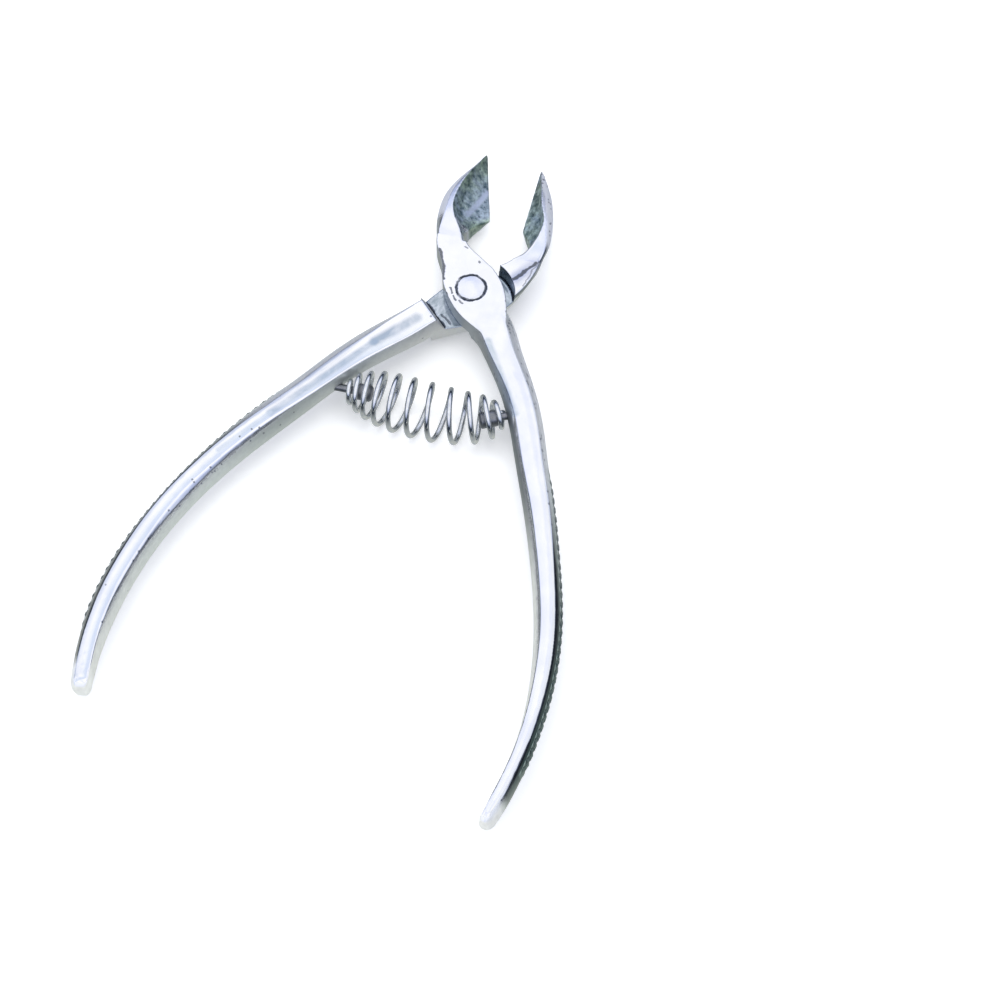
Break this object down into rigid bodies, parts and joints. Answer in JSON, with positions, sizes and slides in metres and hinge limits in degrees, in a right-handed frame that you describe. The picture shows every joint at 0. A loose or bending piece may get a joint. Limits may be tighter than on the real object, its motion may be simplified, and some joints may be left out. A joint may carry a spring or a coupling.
{
  "type": "hoof nipper",
  "caption": "Hand nipper for trimming small hooves and claws: two lapped forged levers with hollow-ground jaws, a rivet pivot, a barrel return spring and knurled handles.",
  "frame": {"origin": "on the rivet's axis, at the flat back face of the joint", "axes": "+Y along the tool's centre line from the handles to the jaws, +Z out of the front face along the rivet, +X to the right as seen from the front with the jaws up"},
  "size_m": [0.1009, 0.1605, 0.0136],
  "materials": {
    "polished_steel": "polished forging, bright nickel plate",
    "rivet_steel": "peened and polished flush",
    "stud_steel": "turned, dull",
    "spring_wire": "bright drawn wire"
  },
  "bodies": {
    "front": {"front_lever": "polished_steel", "pivot_rivet": "rivet_steel", "front_spring_stud": "stud_steel", "barrel_spring": "spring_wire"},
    "rear": {"rear_lever": "polished_steel", "rear_spring_stud": "stud_steel"}
  },
  "joints": [
    {"name": "jaw_pivot", "type": "hinge", "parent": "front", "child": "rear", "pos_m": [0, 0, 0.0045], "axis": [0, 0, 1], "range_deg": [0, 18.4], "stiffness_Nm_per_rad": 1.2, "springref_deg": -2.86, "deforming": ["barrel_spring"]}
  ]
}
